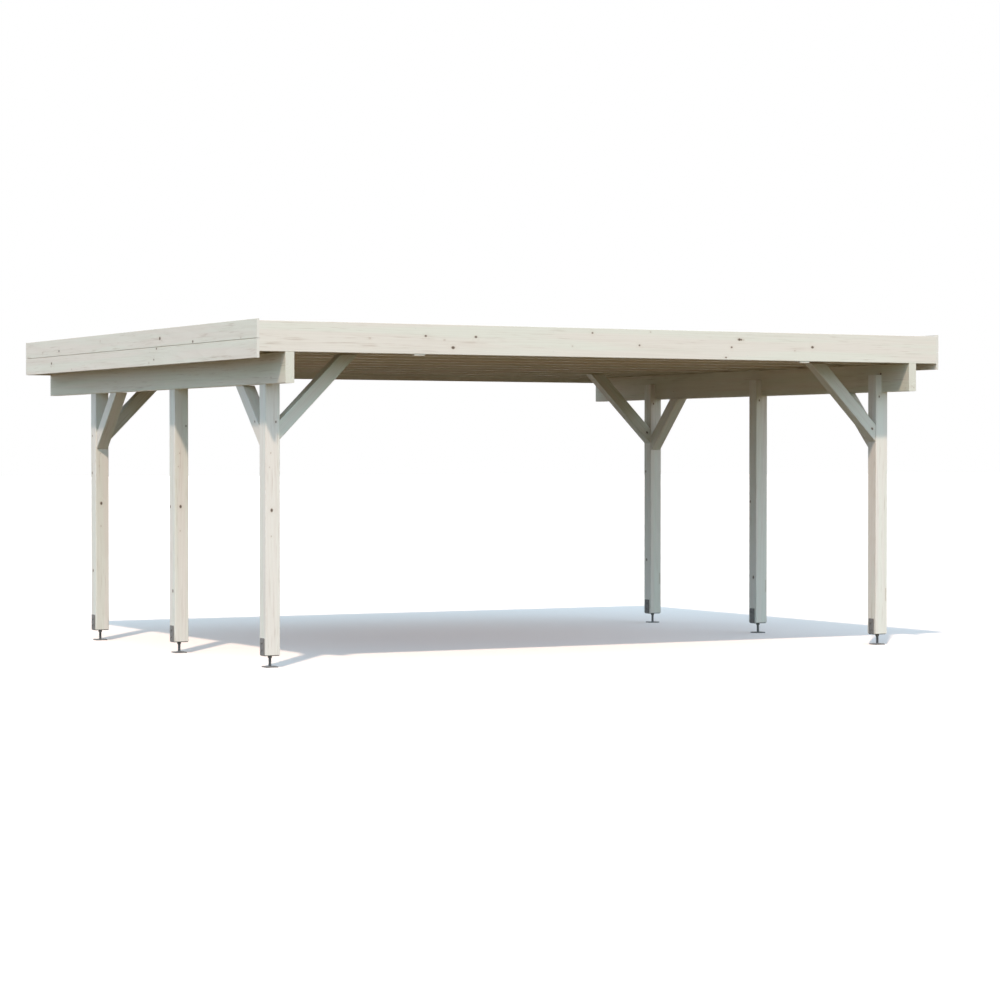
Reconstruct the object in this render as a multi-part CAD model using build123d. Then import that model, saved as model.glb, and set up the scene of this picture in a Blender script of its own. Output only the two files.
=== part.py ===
from build123d import *
import math
import os

# Flat-roofed double carport: six rebated posts on steel shoes, two side beams, knee braces,
# cross rafters, roof boards under a membrane, and a fascia all round.
# X runs across the drive, Y from the front to the back, Z up from the ground. Millimetres.

# Overall frame
post_size = 120            # square section of a post
clear_width = 5587         # between the inner faces of the left and right posts
post_pitch = 1872          # from one post to the next along a side
front_overhang = 397       # roof beyond the front posts
rear_overhang = 1046       # roof beyond the rear posts
side_overhang = 243        # roof beyond the outer faces of the posts
headroom = 2178            # ground to the underside of the side beams
post_lift = 96             # ground to the foot of a post

# Timbers
beam_width = 73
beam_height = 237
beam_seat = 64             # how far the post's rebate takes the beam in
tongue_height = 146        # what is left of the post beside the beam, above its seat
rafter_width = 60
rafter_height = 195
rafter_spacing = 630       # the most from one rafter to the next
brace_size = 104
cross_brace_reach = 664    # along the rafter, from the post's inner face
beam_brace_reach = 490     # along the side beam, from the post's face
arris = 4                  # chamfer along the edges of the timbers

# Roof edge and covering
fascia_thickness = 21
side_board_height = 146
board_gap = 3              # shadow line between the two boards of a fascia
fascia_drop = 50           # side and rear fascia below the top of the beams
front_board_height = 232
board_arris = 2
notch_clearance = 2        # round a beam that passes through the rear fascia
deck_thickness = 18
membrane_thickness = 3
cleat_width = 90
cleat_depth = 40
cleat_thickness = 12
cleat_spacing = 3580       # between the middles of the two cleats
cleat_setback = 5          # behind the face of the front board

# Adjustable post shoe
bracket_width = 70
bracket_height = 130
bracket_thickness = 8
bracket_bend = 12          # outside radius where the strip turns up
bracket_corner = 8         # rounding of the strip's upper corners
rod_diameter = 20
nut_width = 30             # across the flats
nut_height = 16
plate_size = 100
plate_thickness = 8
plate_corner = 6
anchor_spacing = 70
anchor_hole = 11

# Places that follow from the sizes
rows = ("front", "middle", "rear")
sides = {"left": -1, "right": 1}
overrun = post_size        # how far a cutting block runs past what it cuts
half_clear = clear_width / 2
half_frame = half_clear + post_size
half_roof = half_frame + side_overhang
half_deck = half_roof - fascia_thickness
roof_length = front_overhang + (len(rows) - 1) * post_pitch + post_size + rear_overhang
front_y = -roof_length / 2
rear_y = roof_length / 2
post_y = {row: front_y + front_overhang + k * post_pitch for k, row in enumerate(rows)}
deck_front_y = front_y + fascia_thickness
deck_rear_y = rear_y - fascia_thickness
beam_top = headroom + beam_height
rafter_top = beam_top + rafter_height
deck_top = rafter_top + deck_thickness
fascia_bottom = beam_top - fascia_drop
upper_board_bottom = fascia_bottom + side_board_height + board_gap
brace_inset = (post_size - brace_size) / 2
beam_inner = half_frame - beam_seat


def block(x0, x1, y0, y1, z0, z1):
    """A plain block between two corners."""
    size = (x1 - x0, y1 - y0, z1 - z0)
    return Pos(x0, y0, z0) * Box(*size, align=(Align.MIN, Align.MIN, Align.MIN))


def timber(plane, width, depth, length, edge):
    """A straight timber along the plane's normal, its four long edges chamfered."""
    section = Rectangle(width, depth)
    section = chamfer(section.vertices(), length=edge)
    return extrude(plane * section, amount=length)


def along_x(x0, x1, y0, y1, z0, z1, edge):
    """A chamfered timber or board that lies along X between two corners."""
    plane = Plane((x0, (y0 + y1) / 2, (z0 + z1) / 2), x_dir=(0, 1, 0), z_dir=(1, 0, 0))
    return timber(plane, y1 - y0, z1 - z0, x1 - x0, edge)


def along_y(x0, x1, y0, y1, z0, z1, edge):
    """A chamfered timber or board that lies along Y between two corners."""
    plane = Plane(((x0 + x1) / 2, y0, (z0 + z1) / 2), x_dir=(1, 0, 0), z_dir=(0, 1, 0))
    return timber(plane, x1 - x0, z1 - z0, y1 - y0, edge)


def mirrored(shape, side):
    """The shape as it is on the right side, or its mirror image on the left."""
    return shape if side > 0 else mirror(shape, about=Plane.YZ)


def make_post(y):
    """A right-hand post: full section up to the beam, then a tongue on its inner side."""
    foot = Plane((half_clear + post_size / 2, y + post_size / 2, post_lift))
    height = headroom + tongue_height - post_lift
    stem = timber(foot, post_size, post_size, height, arris)
    seat = block(beam_inner, half_frame + overrun, y - overrun, y + post_size + overrun,
                 headroom, headroom + tongue_height + overrun)
    return stem - seat


def make_beam():
    """The right-hand side beam, in the rebates of its posts and as long as the roof."""
    return along_y(beam_inner, beam_inner + beam_width, front_y, rear_y, headroom, beam_top, arris)


def make_brace(reach):
    """A 45 degree knee brace in the XZ plane, its foot on X = 0 and its head on Z = 0, along +Y."""
    cut = brace_size * 2 ** 0.5
    outline = Polyline((0, -reach), (reach, 0), (reach - cut, 0), (0, cut - reach), close=True)
    strut = extrude(Plane.XZ * make_face(outline), amount=-brace_size)
    long_edges = strut.edges().filter_by(Axis((0, 0, 0), (1, 0, 1)))
    return chamfer(long_edges, length=arris)


def make_cross_brace(y):
    """From the inner face of a right-hand post up to the rafter over it."""
    strut = Rot(0, 0, 180) * make_brace(cross_brace_reach)
    return Pos(half_clear, y + post_size - brace_inset, beam_top) * strut


def make_beam_brace(y, towards):
    """From a face of a right-hand post along to the underside of the beam."""
    strut = Rot(0, 0, 90 * towards) * make_brace(beam_brace_reach)
    if towards > 0:
        return Pos(half_frame - brace_inset, y + post_size, headroom) * strut
    return Pos(half_clear + brace_inset, y, headroom) * strut


def rafter_places():
    """Front faces of the rafters: one at each end, one over each post, the rest evenly between."""
    over_posts = [post_y[row] + (post_size - rafter_width) / 2 for row in rows]
    stations = over_posts + [deck_rear_y - rafter_width]
    places = [deck_front_y]
    for here, there in zip(stations, stations[1:]):
        gaps = math.ceil((there - here) / rafter_spacing)
        places += [here + k * (there - here) / gaps for k in range(gaps)]
    return places + stations[-1:]


def make_rear_board(z0, z1):
    """A rear fascia board, let out round the beams where it comes down beside them."""
    board = along_x(-half_roof, half_roof, deck_rear_y, rear_y, z0, z1, board_arris)
    if z0 < beam_top:
        for side in sides.values():
            notch = block(beam_inner - notch_clearance, beam_inner + beam_width + notch_clearance,
                          deck_rear_y - overrun, rear_y + overrun, z0 - overrun, beam_top + notch_clearance)
            board -= mirrored(notch, side)
    return board


def make_shoe(y):
    """A right-hand post shoe: bent strip round the foot of the post, threaded rod, nut and ground plate."""
    middle = (half_clear + post_size / 2, y + post_size / 2)
    half_strip = post_size / 2 + bracket_thickness
    strip_bottom = post_lift - bracket_thickness
    strip = Pos(*middle, strip_bottom) * Box(
        2 * half_strip, bracket_width, bracket_height + bracket_thickness,
        align=(Align.CENTER, Align.CENTER, Align.MIN))
    bends = strip.edges().filter_by(Axis.Y).sort_by(Axis.Z)[:2]
    strip = fillet(bends, radius=bracket_bend)
    strip -= block(middle[0] - post_size / 2, middle[0] + post_size / 2, y - overrun,
                   y + post_size + overrun, post_lift, post_lift + bracket_height + overrun)
    strip = fillet(strip.edges().filter_by(Axis.X).sort_by(Axis.Z)[-4:], radius=bracket_corner)
    nut = Pos(*middle, strip_bottom - nut_height) * extrude(
        RegularPolygon(nut_width / 2, 6, major_radius=False), amount=nut_height)
    rod = Pos(*middle, plate_thickness) * extrude(
        Circle(rod_diameter / 2), amount=strip_bottom - plate_thickness)
    face = RectangleRounded(plate_size, plate_size, plate_corner)
    face -= GridLocations(anchor_spacing, anchor_spacing, 2, 2) * Circle(anchor_hole / 2)
    plate = Pos(*middle, 0) * extrude(face, amount=plate_thickness)
    return plate + rod + nut + strip


def build():
    """Every piece of the carport by its node's name."""
    parts = {}
    for name, side in sides.items():
        for row in rows:
            parts[f"{row}_{name}_post"] = mirrored(make_post(post_y[row]), side)
            parts[f"{row}_{name}_shoe"] = mirrored(make_shoe(post_y[row]), side)
        parts[f"{name}_beam"] = mirrored(make_beam(), side)
        for row, towards in ((rows[0], 1), (rows[-1], -1)):
            parts[f"{row}_{name}_cross_brace"] = mirrored(make_cross_brace(post_y[row]), side)
            parts[f"{row}_{name}_beam_brace"] = mirrored(make_beam_brace(post_y[row], towards), side)
        for level, z0 in (("lower", fascia_bottom), ("upper", upper_board_bottom)):
            board = along_y(half_deck, half_roof, front_y, deck_rear_y,
                            z0, z0 + side_board_height, board_arris)
            parts[f"{name}_{level}_fascia"] = mirrored(board, side)
    for number, y in enumerate(rafter_places(), start=1):
        parts[f"rafter_{number}"] = along_x(
            -half_deck, half_deck, y, y + rafter_width, beam_top, rafter_top, arris)
    parts["front_fascia"] = along_x(-half_deck, half_deck, front_y, deck_front_y,
                                    beam_top, beam_top + front_board_height, board_arris)
    for level, z0 in (("lower", fascia_bottom), ("upper", upper_board_bottom)):
        parts[f"rear_{level}_fascia"] = make_rear_board(z0, z0 + side_board_height)
    parts["roof_deck"] = block(-half_deck, half_deck, deck_front_y, deck_rear_y, rafter_top, deck_top)
    parts["roof_membrane"] = block(-half_deck, half_deck, deck_front_y, deck_rear_y,
                                   deck_top, deck_top + membrane_thickness)
    cleat = block((cleat_spacing - cleat_width) / 2, (cleat_spacing + cleat_width) / 2,
                  front_y + cleat_setback, front_y + cleat_setback + cleat_depth,
                  beam_top - cleat_thickness, beam_top)
    parts["fascia_cleats"] = Compound([mirrored(cleat, side) for side in sides.values()])
    return parts


os.makedirs("parts", exist_ok=True)
for node, shape in build().items():
    export_step(shape, f"parts/{node}.step")
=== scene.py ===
import math

import bpy
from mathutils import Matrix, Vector


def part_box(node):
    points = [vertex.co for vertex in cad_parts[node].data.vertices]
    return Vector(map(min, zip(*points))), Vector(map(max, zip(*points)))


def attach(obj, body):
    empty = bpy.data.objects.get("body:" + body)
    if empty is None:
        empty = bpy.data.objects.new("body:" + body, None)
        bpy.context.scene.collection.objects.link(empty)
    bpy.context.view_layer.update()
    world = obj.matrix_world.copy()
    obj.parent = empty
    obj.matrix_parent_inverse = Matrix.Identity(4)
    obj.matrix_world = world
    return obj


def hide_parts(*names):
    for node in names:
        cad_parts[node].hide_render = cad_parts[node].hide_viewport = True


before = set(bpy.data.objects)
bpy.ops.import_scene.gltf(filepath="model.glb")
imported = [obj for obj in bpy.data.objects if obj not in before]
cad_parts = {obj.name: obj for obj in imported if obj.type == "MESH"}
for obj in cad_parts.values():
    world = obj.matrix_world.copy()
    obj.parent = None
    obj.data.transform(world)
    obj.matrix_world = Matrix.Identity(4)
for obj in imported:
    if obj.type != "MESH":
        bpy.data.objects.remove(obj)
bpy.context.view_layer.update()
bpy.ops.object.select_all(action="DESELECT")
print("frame loaded,", len(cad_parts), "timbers and fittings")

rows = ("front", "middle", "rear")
sides = {"left": -1, "right": 1}
bracedRows = {"front": 1, "rear": -1}    # which way along Y the beam brace leans
topSlope = 0.9                           # a face whose normal has more Z than this is a top


def pick(piece):
    bpy.ops.object.select_all(action="DESELECT")
    piece.select_set(True)
    bpy.context.view_layer.objects.active = piece


def chooseEdges(piece, wanted):
    # leaves edit mode open with just these edges selected
    pick(piece)
    bpy.ops.object.mode_set(mode="EDIT")
    bpy.ops.mesh.select_mode(type="EDGE")
    bpy.ops.mesh.select_all(action="DESELECT")
    bpy.ops.object.mode_set(mode="OBJECT")
    corners = piece.data.vertices
    for edge in piece.data.edges:
        first, second = (corners[index].co for index in edge.vertices)
        edge.select = wanted(first, second)
    bpy.ops.object.mode_set(mode="EDIT")


def chooseFaces(piece, wanted):
    # leaves edit mode open with just these faces selected
    pick(piece)
    bpy.ops.object.mode_set(mode="EDIT")
    bpy.ops.mesh.select_mode(type="FACE")
    bpy.ops.mesh.select_all(action="DESELECT")
    bpy.ops.object.mode_set(mode="OBJECT")
    for face in piece.data.polygons:
        face.select = wanted(face.center, face.normal)
    bpy.ops.object.mode_set(mode="EDIT")


def chooseTop(piece):
    chooseFaces(piece, lambda centre, normal: normal.z > topSlope)


def stopEditing():
    bpy.ops.object.mode_set(mode="OBJECT")


def addBlock(name, low, high):
    low, high = Vector(low), Vector(high)
    bpy.ops.object.select_all(action="DESELECT")
    bpy.ops.mesh.primitive_cube_add(size=1, location=(low + high) / 2)
    piece = bpy.context.object
    piece.name = name
    piece.scale = high - low
    bpy.ops.object.transform_apply(location=True, rotation=True, scale=True)
    return piece


def addRod(name, start, end, radius, corners):
    start, end = Vector(start), Vector(end)
    along = end - start
    bpy.ops.object.select_all(action="DESELECT")
    bpy.ops.mesh.primitive_cylinder_add(
        vertices=corners, radius=radius, depth=along.length, location=(start + end) / 2,
        rotation=along.to_track_quat("Z", "Y").to_euler())
    piece = bpy.context.object
    piece.name = name
    bpy.ops.object.transform_apply(location=True, rotation=True, scale=True)
    return piece


def applyModifier(piece, kind, **settings):
    pick(piece)
    modifier = piece.modifiers.new(kind.lower(), kind)
    for key, value in settings.items():
        setattr(modifier, key, value)
    bpy.ops.object.modifier_apply(modifier=modifier.name)


def copyPiece(piece, place, turn):
    # a copy with its own mesh, turned from +Z and moved to its place
    pick(piece)
    bpy.ops.object.duplicate(linked=False)
    twin = bpy.context.object
    twin.rotation_euler = Vector(turn).to_track_quat("Z", "Y").to_euler()
    twin.location = place
    bpy.ops.object.transform_apply(location=True, rotation=True, scale=True)
    return twin


def joinPieces(name, pieces):
    bpy.ops.object.select_all(action="DESELECT")
    for piece in pieces:
        piece.select_set(True)
    bpy.context.view_layer.objects.active = pieces[0]
    bpy.ops.object.join()
    pieces[0].name = name
    return pieces[0]


def dress(piece, finish):
    pick(piece)
    bpy.ops.object.transform_apply(location=True, rotation=True, scale=True)
    piece.data.materials.clear()
    piece.data.materials.append(finish)
    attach(piece, "root")


def paintNode(node, finish):
    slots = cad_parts[node].data.materials
    slots.clear()
    slots.append(finish)


def plug(finish, socket, value):
    # a link from another node, or a plain value
    if isinstance(value, bpy.types.NodeSocket):
        finish.node_tree.links.new(value, socket)
    else:
        socket.default_value = value


def addNode(finish, kind, feeds=None, **settings):
    made = finish.node_tree.nodes.new("ShaderNode" + kind)
    for key, value in settings.items():
        setattr(made, key, value)
    for socket, value in (feeds or {}).items():
        plug(finish, made.inputs[socket], value)
    return made


def calc(finish, operation, first, second=0.0, third=0.0):
    feeds = {0: first, 1: second, 2: third}
    return addNode(finish, "Math", feeds, operation=operation).outputs[0]


def vectorCalc(finish, operation, *feeds):
    return addNode(finish, "VectorMath", dict(enumerate(feeds)), operation=operation).outputs


def stretch(finish, vector, scale):
    return vectorCalc(finish, "MULTIPLY", vector, scale)[0]


def noise(finish, vector, waves, detail):
    # waves a metre, one for each axis
    feeds = {"Vector": stretch(finish, vector, waves), "Scale": 1.0, "Detail": detail}
    return addNode(finish, "TexNoise", feeds).outputs


def ease(finish, value, low, high, start=0.0, end=1.0):
    feeds = {0: value, 1: low, 2: high, 3: start, 4: end}
    return addNode(finish, "MapRange", feeds, interpolation_type="SMOOTHSTEP").outputs[0]


def tint(finish, factor, first, second, blend="MIX"):
    colours = [(*c, 1.0) if isinstance(c, tuple) else c for c in (first, second)]
    feeds = {0: factor, 6: colours[0], 7: colours[1]}
    return addNode(finish, "Mix", feeds, data_type="RGBA", blend_type=blend).outputs[2]


def addBump(finish, height, look):
    feeds = {"Height": height, "Strength": look["bumpStrength"], "Distance": look["bumpDepth"]}
    return addNode(finish, "Bump", feeds).outputs[0]


def startFinish(name):
    finish = bpy.data.materials.new(name)
    finish.use_nodes = True
    return finish, finish.node_tree.nodes["Principled BSDF"]


def feed(finish, shader, **values):
    for socket, value in values.items():
        plug(finish, shader.inputs[socket.replace("_", " ")], value)


# spruce under a thin white stain
washedSpruce = {
    "wash": (0.80, 0.775, 0.715),
    "bare": (0.57, 0.495, 0.425),
    "pink": (1.0, 0.965, 0.945),
    "cream": (0.975, 0.99, 0.955),
    "knotCore": (0.06, 0.04, 0.03),
    "knotRing": (0.13, 0.088, 0.062),
    "knotRim": (0.36, 0.26, 0.18),
    "crack": (0.36, 0.29, 0.23),
    "growthLines": 24.0,
    "sway": (0.0, 0.024, 0.024),      # metres that the growth lines wander
    "closing": 1.6,                   # growth lines that close round a knot
    "knotLength": 0.75,               # below 1 the knots are longer along the grain
    "knotRings": 430.0,               # rings a metre in the heart of a knot
    "paleInset": 0.001,
    "strayCells": (1.3, 7.0, 7.0),    # places a metre where a stray knot may fall
    "straySizes": (0.001, 0.010),
    "heartCells": 4.0,                # hearts of logs a metre on sawn ends
    "ringSpacing": 0.0045,
    "boardShift": (9.0, 1.0, 1.0),
    "bumpStrength": 0.35,
    "bumpDepth": 0.0006,
    "roughness": (0.3, 0.8, 0.5, 0.68),
    "specular": 0.3,
    # waves a metre along the grain and across it, and detail
    "waves": {
        "sway": ((0.8, 5.0, 5.0), 1.0),
        "growth": ((0.16, 4.2, 4.2), 0.0),
        "streak": ((1.1, 46.0, 46.0), 3.0),
        "fine": ((9.0, 520.0, 520.0), 2.0),
        "dash": ((4.0, 76.0, 76.0), 2.0),
        "thread": ((2.2, 250.0, 250.0), 2.0),
        "cluster": ((1.1, 8.0, 8.0), 1.0),
        "drift": ((0.55, 13.0, 13.0), 1.0),
        "split": ((0.5, 22.0, 22.0), 1.0),
        "rare": ((0.6, 4.0, 4.0), 0.0),
    },
    # where each starts to show, and where it shows in full
    "fades": {
        "core": (0.0015, -0.003), "rim": (0.006, -0.001), "halo": (0.035, 0.0),
        "paleRim": (0.0035, 0.0005), "paleHalo": (0.02, 0.0), "heart": (0.25, 0.85),
        "late": (0.25, 0.9), "lateEnd": (1.0, 0.92), "streak": (0.45, 0.85), "fine": (0.4, 0.75),
        "dash": (0.53, 0.72), "cluster": (0.40, 0.60), "thread": (0.36, 0.6), "drift": (0.38, 0.62),
        "end": (0.8, 0.95), "ring": (0.3, 0.95), "split": (0.003, 0.0005), "rare": (0.64, 0.74),
    },
    # how strongly each shows
    "shares": {
        "late": 0.085, "dash": 0.68, "streak": 0.20, "fine": 0.08, "halo": 0.10,
        "ring": 0.20, "end": 0.04, "crack": 0.5, "rim": 0.5, "core": 0.9,
    },
    # how far each rises or dips, against the fine grain
    "rises": {"late": -0.4, "crack": -1.5, "core": 0.8},
}

# planed spruce boards left bare
bareSpruce = dict(washedSpruce, wash=(0.605, 0.507, 0.355), bare=(0.42, 0.29, 0.158))


def nearestKnot(finish, flat, turn, spots, knotLength):
    # metres to the edge of the nearest of these knots, below zero inside one
    nearest = None
    for *place, radius in spots:
        spot = turn @ Vector(place)
        spot.x *= knotLength
        away = vectorCalc(finish, "DISTANCE", flat, spot)["Value"]
        away = calc(finish, "SUBTRACT", away, radius)
        nearest = away if nearest is None else calc(finish, "MINIMUM", nearest, away)
    return nearest


def timberFinish(name, look, grain, tone=(1.0, 1.0, 1.0), knots=(), faint=(),
                 strayShare=0.08, boardWidth=0.0):
    finish, shader = startFinish(name)
    shares, rises, knotLength = look["shares"], look["rises"], look["knotLength"]

    def layer(kind, vector):
        return noise(finish, vector, *look["waves"][kind])[0]

    def fade(kind, value):
        return ease(finish, value, *look["fades"][kind])

    wash = tuple(part * share for part, share in zip(look["wash"], tone))
    bare = tuple(part * share for part, share in zip(look["bare"], tone))
    place = addNode(finish, "TexCoord").outputs
    turn = Vector(grain).rotation_difference(Vector((1, 0, 0)))
    feeds = {"Vector": place["Object"], "Rotation": turn.to_euler()}
    along = addNode(finish, "Mapping", feeds).outputs[0]
    if boardWidth:
        # each board is cut from another part of the log
        across = addNode(finish, "SeparateXYZ", {0: place["Object"]}).outputs["X"]
        board = calc(finish, "FLOOR", calc(finish, "DIVIDE", across, boardWidth))
        luck = addNode(finish, "TexWhiteNoise", {"W": board}, noise_dimensions="1D")
        shift = stretch(finish, luck.outputs["Color"], look["boardShift"])
        along = vectorCalc(finish, "ADD", along, shift)[0]

    # knots set one by one, and a few that fall anywhere
    flat = stretch(finish, along, (knotLength, 1.0, 1.0))
    cellScale = Vector(look["strayCells"])
    cells = stretch(finish, along, cellScale)
    seeds = addNode(finish, "TexVoronoi", {"Vector": cells, "Scale": 1.0}).outputs
    gap = vectorCalc(finish, "SUBTRACT", cells, seeds["Position"])[0]
    gap = stretch(finish, gap, (knotLength / cellScale.x, 1 / cellScale.y, 1 / cellScale.z))
    away = vectorCalc(finish, "LENGTH", gap)["Value"]
    chance = addNode(finish, "SeparateColor", {0: seeds["Color"]}).outputs[0]
    feeds = dict(enumerate((chance, 1.0 - strayShare, 1.0, *look["straySizes"])))
    size = addNode(finish, "MapRange", feeds, clamp=False).outputs[0]
    edge = calc(finish, "SUBTRACT", away, size)
    if knots:
        edge = calc(finish, "MINIMUM", edge, nearestKnot(finish, flat, turn, knots, knotLength))
    core = fade("core", edge)
    rim = fade("rim", edge)
    halo = fade("halo", edge)
    if faint:
        pale = nearestKnot(finish, flat, turn, faint, knotLength)
        outline = calc(finish, "ABSOLUTE", calc(finish, "ADD", pale, look["paleInset"]))
        rim = calc(finish, "MAXIMUM", rim, fade("paleRim", outline))
        halo = calc(finish, "MAXIMUM", halo, fade("paleHalo", pale))

    # growth lines sway along the timber and close round the knots
    sway = stretch(finish, noise(finish, along, *look["waves"]["sway"])["Color"], look["sway"])
    fibre = vectorCalc(finish, "ADD", along, sway)[0]
    phase = calc(finish, "MULTIPLY", layer("growth", fibre), look["growthLines"])
    phase = calc(finish, "FRACT", calc(finish, "MULTIPLY_ADD", halo, look["closing"], phase))
    late = calc(finish, "MULTIPLY", fade("late", phase), fade("lateEnd", phase))
    streak = layer("streak", fibre)
    fine = layer("fine", fibre)

    # how much of the wood shows through the stain
    dashes = fade("dash", layer("dash", fibre))
    dashes = calc(finish, "MULTIPLY", dashes, fade("cluster", layer("cluster", along)))
    dashes = calc(finish, "MULTIPLY", dashes, fade("thread", layer("thread", fibre)))
    show = calc(finish, "MULTIPLY", late, shares["late"])
    grains = {"dash": dashes, "streak": fade("streak", streak), "fine": fade("fine", fine), "halo": halo}
    for kind, amount in grains.items():
        show = calc(finish, "MULTIPLY_ADD", amount, shares[kind], show)
    colour = tint(finish, show, wash, bare)
    hue = tint(finish, fade("drift", layer("drift", along)), look["pink"], look["cream"])
    colour = tint(finish, 1.0, colour, hue, "MULTIPLY")

    # sawn ends show the rings
    facing = vectorCalc(finish, "DOT_PRODUCT", place["Normal"], grain)["Value"]
    end = fade("end", calc(finish, "ABSOLUTE", facing))
    heartCells = look["heartCells"]
    hearts = stretch(finish, along, (0.0, heartCells, heartCells))
    hearts = addNode(finish, "TexVoronoi", {"Vector": hearts, "Scale": 1.0}).outputs["Distance"]
    ring = calc(finish, "DIVIDE", hearts, heartCells * look["ringSpacing"])
    ring = fade("ring", calc(finish, "FRACT", ring))
    sawn = calc(finish, "MULTIPLY_ADD", ring, shares["ring"], shares["end"])
    colour = tint(finish, end, colour, tint(finish, sawn, wash, bare))

    # drying cracks, few and thin, where a noise passes its middle
    split = calc(finish, "ABSOLUTE", calc(finish, "SUBTRACT", layer("split", fibre), 0.5))
    crack = calc(finish, "MULTIPLY", fade("split", split), fade("rare", layer("rare", along)))
    colour = tint(finish, calc(finish, "MULTIPLY", crack, shares["crack"]), colour, look["crack"])

    colour = tint(finish, calc(finish, "MULTIPLY", rim, shares["rim"]), colour, look["knotRim"])
    rings = calc(finish, "FRACT", calc(finish, "MULTIPLY", edge, look["knotRings"]))
    heart = tint(finish, fade("heart", rings), look["knotCore"], look["knotRing"])
    colour = tint(finish, calc(finish, "MULTIPLY", core, shares["core"]), colour, heart)

    height = fine
    for kind, amount in {"late": late, "crack": crack, "core": core}.items():
        height = calc(finish, "MULTIPLY_ADD", amount, rises[kind], height)
    feed(finish, shader, Base_Color=colour, Normal=addBump(finish, height, look),
         Roughness=ease(finish, streak, *look["roughness"]))
    feed(finish, shader, Specular_IOR_Level=look["specular"])
    return finish


# dark zinc coating gone dull
dullSteel = {
    "base": (0.175, 0.172, 0.167), "bloom": (0.23, 0.225, 0.218), "stain": (0.11, 0.10, 0.085),
    "spangles": 90.0, "spangleShare": 0.45,
    "cloud": ((28.0, 28.0, 28.0), 4.0), "cloudFade": (0.5, 0.75),
    "runs": ((120.0, 120.0, 9.0), 2.0), "runsFade": (0.58, 0.8),
    "grit": ((900.0, 900.0, 900.0), 2.0), "bumpStrength": 0.25, "bumpDepth": 0.0004,
    "roughness": (0.3, 0.7, 0.5, 0.68), "metallic": 0.1, "specular": 0.25,
}


def steelFinish(name):
    look = dullSteel
    finish, shader = startFinish(name)
    place = addNode(finish, "TexCoord").outputs["Object"]
    spangle = addNode(finish, "TexVoronoi", {"Vector": place, "Scale": look["spangles"]})
    tone = addNode(finish, "SeparateColor", {0: spangle.outputs["Color"]}).outputs[0]
    cloud = noise(finish, place, *look["cloud"])[0]
    runs = noise(finish, place, *look["runs"])[0]
    grit = noise(finish, place, *look["grit"])[0]
    bloom = calc(finish, "MULTIPLY", tone, look["spangleShare"])
    colour = tint(finish, bloom, look["base"], look["bloom"])
    colour = tint(finish, ease(finish, cloud, *look["cloudFade"]), colour, look["bloom"])
    colour = tint(finish, ease(finish, runs, *look["runsFade"]), colour, look["stain"])
    feed(finish, shader, Base_Color=colour, Normal=addBump(finish, grit, look),
         Roughness=ease(finish, cloud, *look["roughness"]))
    feed(finish, shader, Metallic=look["metallic"], Specular_IOR_Level=look["specular"])
    return finish


# dark roofing felt with a mineral face
felt = {
    "base": (0.05, 0.052, 0.056), "pale": (0.092, 0.093, 0.096), "chip": (0.17, 0.17, 0.175),
    "dust": (0.15, 0.142, 0.128), "bitumen": (0.012, 0.012, 0.013),
    "rollShare": 0.75, "chips": 620.0, "chipFade": (0.55, 1.0),
    "cloud": ((2.2, 2.6, 2.0), 8.0), "cloudFade": (0.45, 0.8, 0.0, 0.4),
    "runs": ((9.0, 0.8, 1.0), 3.0), "runsFade": (0.6, 0.8, 0.0, 0.3),
    "ooze": (0.006, 0.040), "oozeNoise": ((16.0, 16.0, 16.0), 3.0),
    "oozeFade": (0.3, 0.7), "oozeEdge": 0.7,
    "bumpStrength": 0.4, "bumpDepth": 0.0008,
    "roughness": (0.3, 0.7, 0.75, 0.92), "seamGloss": -0.3, "specular": 0.15,
    "rolls": 6, "lap": 0.004, "lapRun": 0.004, "cuts": 8, "ribs": 60, "clearance": 0.004,
    "thickness": 0.0025, "lift": 0.004, "upstand": 0.009, "waveHeight": 0.0016, "waveSize": 0.7,
    "smoothAngle": 30,
}


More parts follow.
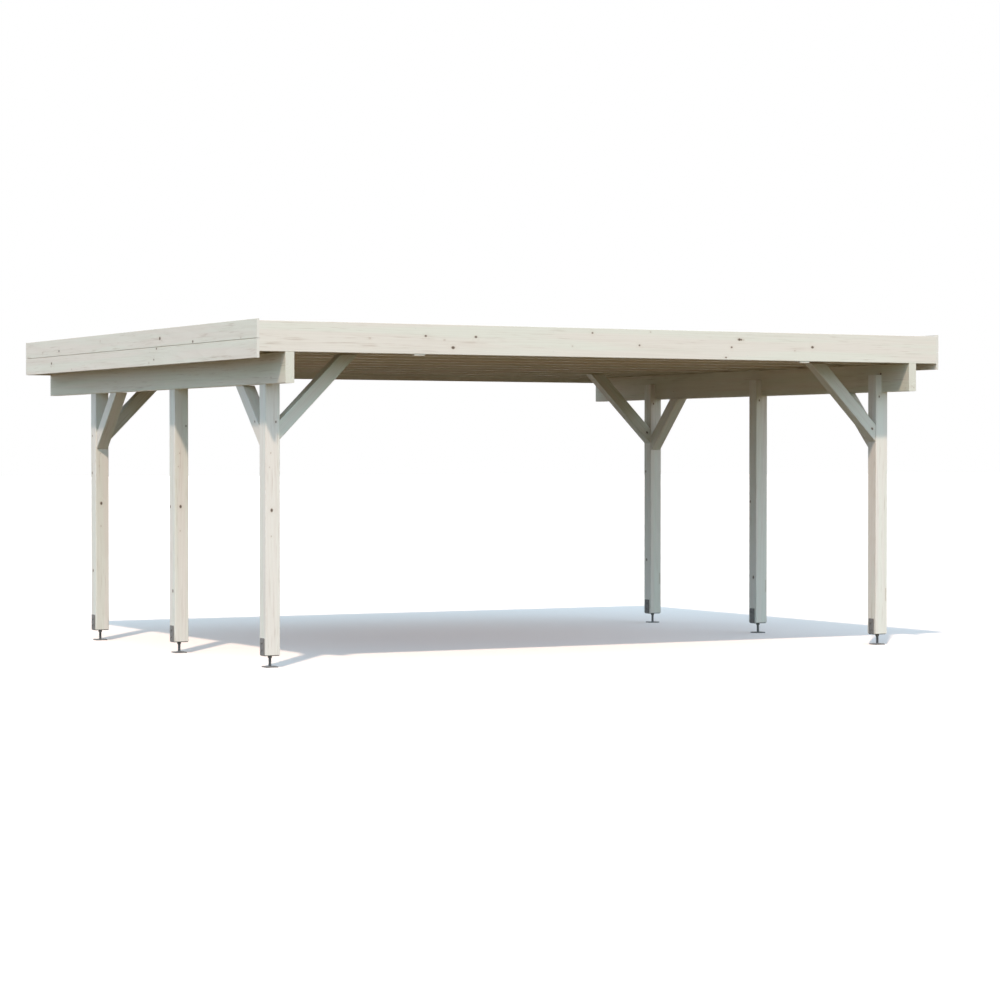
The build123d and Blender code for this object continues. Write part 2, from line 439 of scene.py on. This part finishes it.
def feltFinish(front, step):
    finish, shader = startFinish("roofing felt")
    place = addNode(finish, "TexCoord").outputs["Object"]
    y = addNode(finish, "SeparateXYZ", {0: place}).outputs["Y"]
    roll = calc(finish, "DIVIDE", calc(finish, "SUBTRACT", y, front), step)
    luck = addNode(finish, "TexWhiteNoise", {"W": calc(finish, "FLOOR", roll)}, noise_dimensions="1D")
    batch = calc(finish, "MULTIPLY", luck.outputs["Value"], felt["rollShare"])
    chips = addNode(finish, "TexVoronoi", {"Vector": place, "Scale": felt["chips"]})
    tone = addNode(finish, "SeparateColor", {0: chips.outputs["Color"]}).outputs[0]
    cloud = noise(finish, place, *felt["cloud"])[0]
    runs = noise(finish, place, *felt["runs"])[0]
    colour = tint(finish, batch, felt["base"], felt["pale"])
    colour = tint(finish, ease(finish, tone, *felt["chipFade"]), colour, felt["chip"])
    colour = tint(finish, ease(finish, cloud, *felt["cloudFade"]), colour, felt["dust"])
    colour = tint(finish, ease(finish, runs, *felt["runsFade"]), colour, felt["dust"])
    # bitumen has oozed out in front of each lap
    ooze = noise(finish, place, *felt["oozeNoise"])[0]
    ooze = ease(finish, ooze, *felt["oozeFade"], *(reach / step for reach in felt["ooze"]))
    beforeLap = calc(finish, "SUBTRACT", 1.0, calc(finish, "FRACT", roll))
    seam = ease(finish, beforeLap, ooze, calc(finish, "MULTIPLY", ooze, felt["oozeEdge"]))
    colour = tint(finish, seam, colour, felt["bitumen"])
    grain = calc(finish, "MULTIPLY", tone, calc(finish, "SUBTRACT", 1.0, seam))
    rough = ease(finish, cloud, *felt["roughness"])
    feed(finish, shader, Base_Color=colour, Normal=addBump(finish, grain, felt),
         Roughness=calc(finish, "MULTIPLY_ADD", seam, felt["seamGloss"], rough))
    feed(finish, shader, Specular_IOR_Level=felt["specular"])
    return finish


def buildFelt():
    # rolls lie across the roof, each lapping the one before, with the edges turned up at the fascia
    low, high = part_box("roof_membrane")
    left, right = low.x + felt["clearance"], high.x - felt["clearance"]
    front, back = low.y + felt["clearance"], high.y - felt["clearance"]
    step = (back - front) / felt["rolls"]
    lapRun, cuts = felt["lapRun"], felt["cuts"]
    bpy.ops.object.select_all(action="DESELECT")
    start = ((left + right) / 2, front + lapRun / 2, low.z + felt["lift"])
    bpy.ops.mesh.primitive_plane_add(size=1, location=start)
    piece = bpy.context.object
    piece.name = "roofFelt"
    piece.scale = (right - left, lapRun, 1)
    bpy.ops.object.transform_apply(location=True, rotation=True, scale=True)
    reach = front + lapRun
    small = lapRun / 4
    for roll in range(felt["rolls"]):
        end = front + (roll + 1) * step
        last = roll == felt["rolls"] - 1
        run = end - reach - (0 if last else lapRun)
        chooseEdges(piece, lambda a, b: min(a.y, b.y) > reach - small)
        move = {"value": (0, run / cuts, -felt["lap"] / cuts)}
        for _ in range(cuts):
            bpy.ops.mesh.extrude_region_move(TRANSFORM_OT_translate=move)
        if not last:
            move = {"value": (0, lapRun, felt["lap"])}
            bpy.ops.mesh.extrude_region_move(TRANSFORM_OT_translate=move)
        stopEditing()
        reach = end
    chooseEdges(piece, lambda a, b: abs(a.x - b.x) > step)
    bpy.ops.mesh.subdivide(number_cuts=felt["ribs"])
    bpy.ops.mesh.select_all(action="SELECT")
    bpy.ops.mesh.normals_make_consistent(inside=False)
    stopEditing()
    waves = bpy.data.textures.new("feltWaves", "CLOUDS")
    waves.noise_scale = felt["waveSize"]
    applyModifier(piece, "DISPLACE", texture=waves, texture_coords="LOCAL", direction="Z",
                  strength=felt["waveHeight"], mid_level=0.5)
    chooseEdges(piece, lambda a, b: False)
    bpy.ops.mesh.select_non_manifold(extend=False)
    bpy.ops.mesh.extrude_region_move(TRANSFORM_OT_translate={"value": (0, 0, felt["upstand"])})
    stopEditing()
    applyModifier(piece, "SOLIDIFY", thickness=felt["thickness"], offset=0.0)
    pick(piece)
    bpy.ops.object.shade_smooth_by_angle(angle=math.radians(felt["smoothAngle"]))
    dress(piece, feltFinish(front, step))
    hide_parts("roof_membrane")


# boards under the felt, seen from below
roofBoards = {"count": 65, "groove": 0.0035, "seam": 0.0004, "strayShare": 0.18}


def buildRoofBoards():
    low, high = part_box("roof_deck")
    width = (high.x - low.x) / roofBoards["count"]
    piece = addBlock("roofBoards", low, (low.x + width - roofBoards["seam"], high.y, high.z))
    middle = (low.z + high.z) / 2
    # the lower long edges are chamfered, so that each joint is a groove
    chooseEdges(piece, lambda a, b: max(a.z, b.z) < middle and abs(a.y - b.y) > width)
    bpy.ops.mesh.bevel(offset=roofBoards["groove"], segments=1)
    stopEditing()
    applyModifier(piece, "ARRAY", count=roofBoards["count"], use_relative_offset=False,
                  use_constant_offset=True, constant_offset_displace=(width, 0, 0))
    finish = timberFinish("roof boards", bareSpruce, (0, 1, 0),
                          strayShare=roofBoards["strayShare"], boardWidth=width)
    dress(piece, finish)
    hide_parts("roof_deck")


# knots that show on the faces, as X, Y, Z and radius, and paler ones
frontFace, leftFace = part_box("front_fascia")[0].y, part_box("left_upper_fascia")[0].x
fasciaKnots = {
    "front": [(x, frontFace, z, radius) for x, z, radius in (
        (-1.501, 2.469, 0.011), (1.862, 2.532, 0.010), (-1.301, 2.556, 0.0085), (1.140, 2.582, 0.010),
        (1.158, 2.581, 0.007), (-1.739, 2.555, 0.0075), (1.010, 2.433, 0.006), (-0.251, 2.609, 0.006),
        (1.065, 2.518, 0.0065), (0.186, 2.518, 0.006))],
    "frontPale": [(x, frontFace, z, radius) for x, z, radius in (
        (-1.576, 2.527, 0.006), (-0.434, 2.499, 0.005), (-2.218, 2.528, 0.006), (1.686, 2.500, 0.005),
        (1.18, 2.58, 0.006), (1.125, 2.583, 0.006), (0.289, 2.627, 0.005))],
    "left": [(leftFace, y, z, radius) for y, z, radius in (
        (-1.381, 2.530, 0.010), (-0.674, 2.580, 0.013), (1.757, 2.556, 0.009), (1.956, 2.452, 0.010),
        (-0.540, 2.412, 0.007), (-0.598, 2.500, 0.008))],
    "leftPale": [(leftFace, y, z, radius) for y, z, radius in (
        (2.191, 2.551, 0.007), (-0.429, 2.388, 0.006), (1.969, 2.424, 0.006), (0.713, 2.605, 0.009),
        (-2.346, 2.525, 0.006), (1.428, 2.385, 0.006))],
}
# on the posts they are measured from the corner at the lowest X and Y
postKnots = {
    "leftFront": [(0.0505, 0.0, 1.21, 0.010)],
    "leftFrontPale": [(0.043, 0.0, 1.65, 0.004), (0.047, 0.0, 1.01, 0.004), (0.032, 0.0, 1.54, 0.003)],
    "rightFront": [(0.033, 0.0, 2.138, 0.0065)],
    # a row of small ones that runs together
    "rightFrontPale": [(0.105, 0.0, 0.385 + 0.012 * step, 0.004) for step in range(9)],
    "middleSide": [(0.0, 0.046, 0.513, 0.011), (0.0, 0.101, 1.208, 0.009)],
    "rearSide": [(0.0, 0.090, 1.478, 0.009), (0.0, 0.072, 0.615, 0.010), (0.0, 0.086, 1.806, 0.006)],
}
otherKnots = {
    "front_left_post": [(-2.8273, -2.2565, 1.8886, 0.006)],
    "middle_left_post": [(-2.814, -0.3845, 1.875, 0.005)],
    "beams": [(2.8495, -2.2459, 2.3352, 0.008)],
    "beamsPale": [(2.8783, -2.6535, 2.2192, 0.008), (2.899, -2.6535, 2.21, 0.005),
                  (-2.9225, -2.3818, 2.2236, 0.005)],
    "front_left_beam_brace": [(-2.9055, -2.0298, 1.8929, 0.007)],
    "front_right_cross_brace": [(2.7585, -2.2485, 1.862, 0.009)],
    "rear_right_cross_brace": [(2.7583, 1.4955, 1.858, 0.009)],
}
# how each timber took the stain; the cross braces and rafters are also set darker as painted shade, for the
# shade they sit in under the roof
stainAndShadeTones = {
    "post": (0.937, 0.94, 0.948),
    "board": (0.88, 0.873, 0.858),
    "beam": (0.825, 0.83, 0.775),
    # painted shade: the cross braces are set darker for the shade near the roof
    "crossBrace": (0.81, 0.84, 0.83),
    "beamBrace": (0.895, 0.89, 0.885),
    # painted shade: the rafters are set darker for the shade under the roof
    "rafter": (0.84, 0.82, 0.76),
}
# how many of the places for a stray knot hold one
strayShares = {"board": 0.01, "post": 0.03, "brace": 0.05, "rafter": 0.2}


def fromCorner(corner, knots):
    return [(corner.x + x, corner.y + y, z, radius) for x, y, z, radius in knots]


def paintTimbers():
    look = washedSpruce
    finish = timberFinish("front fascia", look, (1, 0, 0), stainAndShadeTones["board"],
                          fasciaKnots["front"], fasciaKnots["frontPale"], strayShares["board"])
    paintNode("front_fascia", finish)
    finish = timberFinish("left fascia", look, (0, 1, 0), stainAndShadeTones["board"],
                          fasciaKnots["left"], fasciaKnots["leftPale"], strayShares["board"])
    for level in ("lower", "upper"):
        paintNode(f"left_{level}_fascia", finish)
    beams = timberFinish("beams", look, (0, 1, 0), stainAndShadeTones["beam"],
                         otherKnots["beams"], otherKnots["beamsPale"])
    rightBoards = timberFinish("right fascia", look, (0, 1, 0), stainAndShadeTones["board"])
    acrossBoards = timberFinish("rear fascia and cleats", look, (1, 0, 0), stainAndShadeTones["board"])
    rafters = timberFinish("rafters", look, (1, 0, 0), stainAndShadeTones["rafter"], strayShare=strayShares["rafter"])
    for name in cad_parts:
        if name.endswith("beam"):
            paintNode(name, beams)
        elif name.startswith("right") and name.endswith("fascia"):
            paintNode(name, rightBoards)
        elif name.startswith("rear") and name.endswith("fascia") or name == "fascia_cleats":
            paintNode(name, acrossBoards)
        elif name.startswith("rafter"):
            paintNode(name, rafters)
    for side, sign in sides.items():
        for row in rows:
            name = f"{row}_{side}_post"
            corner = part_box(name)[0]
            dark = fromCorner(corner, postKnots[side + "Front"] + postKnots.get(row + "Side", []))
            dark += otherKnots.get(name, [])
            pale = fromCorner(corner, postKnots[side + "FrontPale"])
            finish = timberFinish(name.replace("_", " "), look, (0, 0, 1), stainAndShadeTones["post"],
                                  dark, pale, strayShares["post"])
            paintNode(name, finish)
        for row, lean in bracedRows.items():
            braces = {"cross": (-sign, 0, 1), "beam": (0, lean, 1)}
            for kind, grain in braces.items():
                name = f"{row}_{side}_{kind}_brace"
                finish = timberFinish(name.replace("_", " "), look, Vector(grain).normalized(),
                                      stainAndShadeTones[kind + "Brace"], otherKnots.get(name, ()),
                                      strayShare=strayShares["brace"])
                paintNode(name, finish)


# hex screw on a washer, modelled standing on Z = 0 and pointing up
hexScrew = {"washerRadius": 0.010, "washerHeight": 0.0018, "washerSides": 20, "headRadius": 0.0075,
            "headHeight": 0.005, "headSides": 6, "chamfer": 0.0012, "chamferRise": 0.0007}


def makeHexScrew():
    look = hexScrew
    foot = (0, 0, look["washerHeight"])
    top = (0, 0, look["washerHeight"] + look["headHeight"])
    washer = addRod("washer", (0, 0, 0), foot, look["washerRadius"], look["washerSides"])
    chooseTop(washer)
    bpy.ops.mesh.inset(thickness=look["chamfer"], depth=look["chamferRise"] / 2)
    stopEditing()
    head = addRod("head", foot, top, look["headRadius"], look["headSides"])
    chooseTop(head)
    bpy.ops.mesh.inset(thickness=look["chamfer"], depth=look["chamferRise"])
    stopEditing()
    return joinPieces("hexScrew", [washer, head])


# countersunk screw, brushed over with the stain
woodScrew = {
    "radius": 0.0045, "sides": 14, "sunk": 0.002, "proud": 0.0004, "rim": 0.0007, "dish": 0.0003,
    "socket": 0.0016, "socketDepth": 0.0012, "colour": (0.66, 0.635, 0.58), "worn": (0.42, 0.41, 0.39),
    "rub": ((700.0, 700.0, 700.0), 3.0), "rubFade": (0.52, 0.72), "roughness": (0.3, 0.7, 0.62, 0.42),
}


def makeWoodScrew():
    look = woodScrew
    piece = addRod("woodScrew", (0, 0, -look["sunk"]), (0, 0, look["proud"]), look["radius"], look["sides"])
    chooseTop(piece)
    bpy.ops.mesh.inset(thickness=look["rim"], depth=-look["dish"])
    bpy.ops.mesh.inset(thickness=look["radius"] - look["rim"] - look["socket"])
    bpy.ops.mesh.inset(thickness=look["rim"] / 3, depth=-look["socketDepth"])
    stopEditing()
    return piece


def screwFinish():
    look = woodScrew
    finish, shader = startFinish("stained screw heads")
    place = addNode(finish, "TexCoord").outputs["Object"]
    rub = noise(finish, place, *look["rub"])[0]
    worn = ease(finish, rub, *look["rubFade"])
    feed(finish, shader, Base_Color=tint(finish, worn, look["colour"], look["worn"]),
         Roughness=ease(finish, rub, *look["roughness"]))
    return finish


# rows of screws through the fascia boards
fasciaScrews = {"edge": 0.036, "acrossCount": 11, "acrossInset": 0.09}


def buildFasciaScrews(finish, screw):
    screws = []
    rafters = [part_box(name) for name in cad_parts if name.startswith("rafter")]
    for side, sign in sides.items():
        for level in ("lower", "upper"):
            low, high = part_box(f"{side}_{level}_fascia")
            face = high.x if sign > 0 else low.x
            for rafterLow, rafterHigh in rafters:
                y = (rafterLow.y + rafterHigh.y) / 2
                for z in (low.z + fasciaScrews["edge"], high.z - fasciaScrews["edge"]):
                    if z > rafterLow.z:
                        screws.append(copyPiece(screw, (face, y, z), (sign, 0, 0)))
    for name, way in (("front_fascia", -1), ("rear_upper_fascia", 1), ("rear_lower_fascia", 1)):
        low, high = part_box(name)
        face = high.y if way > 0 else low.y
        start = low.x + fasciaScrews["acrossInset"]
        step = (high.x - fasciaScrews["acrossInset"] - start) / (fasciaScrews["acrossCount"] - 1)
        for number in range(fasciaScrews["acrossCount"]):
            for z in (low.z + fasciaScrews["edge"], high.z - fasciaScrews["edge"]):
                if z > rafters[0][0].z:
                    screws.append(copyPiece(screw, (start + number * step, face, z), (0, way, 0)))
    dress(joinPieces("fasciaScrews", screws), finish)


# screws through the braces and the tongues of the posts
frameScrews = {"fromEnd": 0.075, "spread": 0.024, "tongueHeights": (0.045, 0.105), "tongueSpread": 0.028}


def buildFrameScrews(finish, screw):
    screws = []
    for side, sign in sides.items():
        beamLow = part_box(f"{side}_beam")[0]
        for row in rows:
            low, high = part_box(f"{row}_{side}_post")
            face = low.x if sign > 0 else high.x
            for height, spread in zip(frameScrews["tongueHeights"], (-1, 1)):
                y = (low.y + high.y) / 2 + spread * frameScrews["tongueSpread"]
                screws.append(copyPiece(screw, (face, y, beamLow.z + height), (-sign, 0, 0)))
        for row, lean in bracedRows.items():
            low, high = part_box(f"{row}_{side}_cross_brace")
            foot = Vector((high.x if sign > 0 else low.x, (low.y + high.y) / 2, low.z))
            head = Vector((low.x if sign > 0 else high.x, foot.y, high.z))
            screws += braceScrewPairs(screw, foot, head, Vector((0, 1, 0)), Vector((-sign, 0, -1)))
            low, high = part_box(f"{row}_{side}_beam_brace")
            foot = Vector(((low.x + high.x) / 2, low.y if lean > 0 else high.y, low.z))
            head = Vector((foot.x, high.y if lean > 0 else low.y, high.z))
            screws += braceScrewPairs(screw, foot, head, Vector((1, 0, 0)), Vector((0, lean, -1)))
    dress(joinPieces("frameScrews", screws), finish)


def braceScrewPairs(screw, foot, head, across, out):
    # two screws near each end of the brace's lower face
    along = (head - foot).normalized() * frameScrews["fromEnd"]
    spots = []
    for end in (foot + along, head - along):
        for way in (-1, 1):
            spots.append(copyPiece(screw, end + across * way * frameScrews["spread"], out))
    return spots


# fittings at the post shoes
shoe = {"screwHeights": (0.135, 0.19), "plateTop": 0.008, "rodRadius": 0.010,
        "threadPitch": 0.0025, "threadDepth": 0.0012, "threadStart": 0.009, "threadEnd": 0.071,
        "threadCorners": 3, "threadSteps": 14,
        "weldBead": 0.0026, "weldRipple": 0.0005, "weldRings": 28, "weldSides": 8}


def makeThread():
    turns = int((shoe["threadEnd"] - shoe["threadStart"]) / shoe["threadPitch"])
    bpy.ops.object.select_all(action="DESELECT")
    bpy.ops.mesh.primitive_circle_add(
        vertices=shoe["threadCorners"], radius=shoe["threadPitch"] / 2, fill_type="NOTHING",
        location=(shoe["rodRadius"] + shoe["threadDepth"] / 4, 0, 0), rotation=(math.pi / 2, 0, 0))
    piece = bpy.context.object
    piece.name = "thread"
    bpy.ops.object.transform_apply(location=True, rotation=True, scale=True)
    applyModifier(piece, "SCREW", steps=shoe["threadSteps"], render_steps=shoe["threadSteps"],
                  iterations=turns, screw_offset=shoe["threadPitch"], use_normal_calculate=True)
    chooseEdges(piece, lambda a, b: False)
    bpy.ops.mesh.select_non_manifold(extend=False)
    bpy.ops.mesh.edge_face_add()
    bpy.ops.mesh.select_all(action="SELECT")
    bpy.ops.mesh.normals_make_consistent(inside=False)
    stopEditing()
    return piece


def makeWeld():
    bpy.ops.object.select_all(action="DESELECT")
    bpy.ops.mesh.primitive_torus_add(
        major_radius=shoe["rodRadius"], minor_radius=shoe["weldBead"],
        major_segments=shoe["weldRings"] * 2, minor_segments=shoe["weldSides"])
    piece = bpy.context.object
    piece.name = "weld"
    wedge = math.pi / shoe["weldRings"]
    # every other wedge of the ring swells into a ripple
    chooseFaces(piece, lambda centre, normal: int(math.atan2(centre.y, centre.x) // wedge) % 2 == 0)
    bpy.ops.transform.shrink_fatten(value=shoe["weldRipple"])
    stopEditing()
    return piece


def buildShoeFittings(steel, screw):
    thread, weld = makeThread(), makeWeld()
    threads, welds, screws = [], [], []
    for side in sides:
        for row in rows:
            name = f"{row}_{side}_shoe"
            paintNode(name, steel)
            low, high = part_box(name)
            middle = (low + high) / 2
            start = (middle.x, middle.y, shoe["threadStart"] + shoe["threadPitch"] / 2)
            threads.append(copyPiece(thread, start, (0, 0, 1)))
            welds.append(copyPiece(weld, (middle.x, middle.y, shoe["plateTop"]), (0, 0, 1)))
            for x, out in ((low.x, -1), (high.x, 1)):
                for height in shoe["screwHeights"]:
                    screws.append(copyPiece(screw, (x, middle.y, height), (out, 0, 0)))
    for pattern in (thread, weld):
        bpy.data.objects.remove(pattern)
    dress(joinPieces("shoeThreads", threads), steel)
    dress(joinPieces("shoeWelds", welds), steel)
    dress(joinPieces("shoeScrews", screws), steel)


paintTimbers()
print("timbers painted")
buildRoofBoards()
buildFelt()
print("roof covered")
steel = steelFinish("dull dark steel")
hexPattern, screwPattern = makeHexScrew(), makeWoodScrew()
buildShoeFittings(steel, hexPattern)
stainedScrews = screwFinish()
buildFasciaScrews(stainedScrews, screwPattern)
buildFrameScrews(stainedScrews, screwPattern)
for pattern in (hexPattern, screwPattern):
    bpy.data.objects.remove(pattern)
print("fittings placed")


def seenRays(finish):
    # 1 for rays that show the surface, 0 for those that only carry its light
    rays = addNode(finish, "LightPath").outputs
    seen = calc(finish, "MAXIMUM", rays["Is Camera Ray"], rays["Is Glossy Ray"])
    return calc(finish, "MAXIMUM", seen, rays["Is Transmission Ray"])


# pale floor that bounces little light
floor = {"reach": 400.0, "drop": 0.0006, "roughness": 0.9,
         "pale": (0.95, 0.86, 0.81), "bounce": (0.148, 0.107, 0.056)}


def buildFloor():
    bpy.ops.object.select_all(action="DESELECT")
    bpy.ops.mesh.primitive_plane_add(size=floor["reach"], location=(0, 0, -floor["drop"]))
    ground = bpy.context.object
    ground.name = "floor"
    finish, shader = startFinish("pale floor")
    feed(finish, shader, Base_Color=tint(finish, seenRays(finish), floor["bounce"], floor["pale"]))
    feed(finish, shader, Roughness=floor["roughness"], Specular_IOR_Level=0.0)
    ground.data.materials.append(finish)


# warm sun from the front left, and a soft sky that is cooler overhead
light = {
    "way": (0.494, 0.632, -1.0), "lampPlace": (-8, -12, 16),
    "sunStrength": 2.88, "sunColour": (1.0, 0.80, 0.66), "sunAngle": 2.2,
    "skyStrength": 2.08, "skyHeights": (0.06, 0.21, 0.425, 0.775),
    "sideSwing": 2 / 3, "sideLevel": 1 / 3,    # how a side's share falls off round the sky
    # colours of the sky on three sides, from the horizon up
    "skySides": {
        (0.5, -0.866, 0.0): (
            (0.24, 0.37, 0.26), (0.67, 0.72, 0.785), (0.68, 0.79, 0.945), (0.25, 0.41, 0.54)),
        (-1.0, 0.0, 0.0): (
            (0.38, 0.53, 0.65), (0.24, 0.41, 0.55), (0.33, 0.45, 0.60), (0.28, 0.41, 0.48)),
        (0.5, 0.866, 0.0): (
            (0.10, 0.10, 0.10), (0.44, 0.41, 0.40), (0.58, 0.54, 0.56), (0.08, 0.11, 0.12)),
    },
}


def buildSun():
    bpy.ops.object.select_all(action="DESELECT")
    turn = Vector(light["way"]).to_track_quat("-Z", "Y").to_euler()
    bpy.ops.object.light_add(type="SUN", location=light["lampPlace"], rotation=turn)
    sun = bpy.context.object
    sun.name = "sun"
    sun.data.energy = light["sunStrength"]
    sun.data.color = light["sunColour"]
    sun.data.angle = math.radians(light["sunAngle"])


def skyRamp(world, up, colours):
    ramp = addNode(world, "ValToRGB", {0: up})
    ramp.color_ramp.interpolation = "EASE"
    stops = ramp.color_ramp.elements
    while len(stops) < len(colours):
        stops.new(1.0)
    for stop, height, tone in zip(stops, light["skyHeights"], colours):
        stop.position = height
        stop.color = (*tone, 1.0)
    return ramp.outputs[0]


def buildSky():
    world = bpy.data.worlds.new("sky")
    bpy.context.scene.world = world
    world.use_nodes = True
    glow = world.node_tree.nodes["Background"]
    way = addNode(world, "TexCoord").outputs["Object"]
    up = addNode(world, "SeparateXYZ", {0: way}).outputs["Z"]
    level = vectorCalc(world, "NORMALIZE", stretch(world, way, (1.0, 1.0, 0.0)))[0]
    colour = None
    for side, colours in light["skySides"].items():
        facing = vectorCalc(world, "DOT_PRODUCT", level, side)["Value"]
        share = calc(world, "MULTIPLY_ADD", facing, light["sideSwing"], light["sideLevel"])
        feeds = {0: skyRamp(world, up, colours), "Scale": calc(world, "MAXIMUM", share, 0.0)}
        part = addNode(world, "VectorMath", feeds, operation="SCALE").outputs[0]
        colour = part if colour is None else vectorCalc(world, "ADD", colour, part)[0]
    feed(world, glow, Color=colour, Strength=light["skyStrength"])
    white = addNode(world, "Background", {"Color": (1.0, 1.0, 1.0, 1.0)})
    sky = addNode(world, "MixShader", {0: seenRays(world), 1: glow.outputs[0], 2: white.outputs[0]})
    plug(world, world.node_tree.nodes["World Output"].inputs["Surface"], sky.outputs[0])


# eye level, from the front left
view = {"place": (-11.7154, -22.5155, 1.6219), "turn": -28.15, "down": 0.865,
        "lens": 103.37, "sensor": 36.0, "clipEnd": 500}


def buildCamera():
    bpy.ops.object.select_all(action="DESELECT")
    turn = (math.radians(90 - view["down"]), 0, math.radians(view["turn"]))
    bpy.ops.object.camera_add(location=view["place"], rotation=turn)
    camera = bpy.context.object
    camera.data.lens = view["lens"]
    camera.data.sensor_width = view["sensor"]
    camera.data.clip_end = view["clipEnd"]
    bpy.context.scene.camera = camera


buildFloor()
buildSun()
buildSky()
buildCamera()
bpy.context.scene.view_settings.view_transform = "Standard"
print("floor, light and camera set")
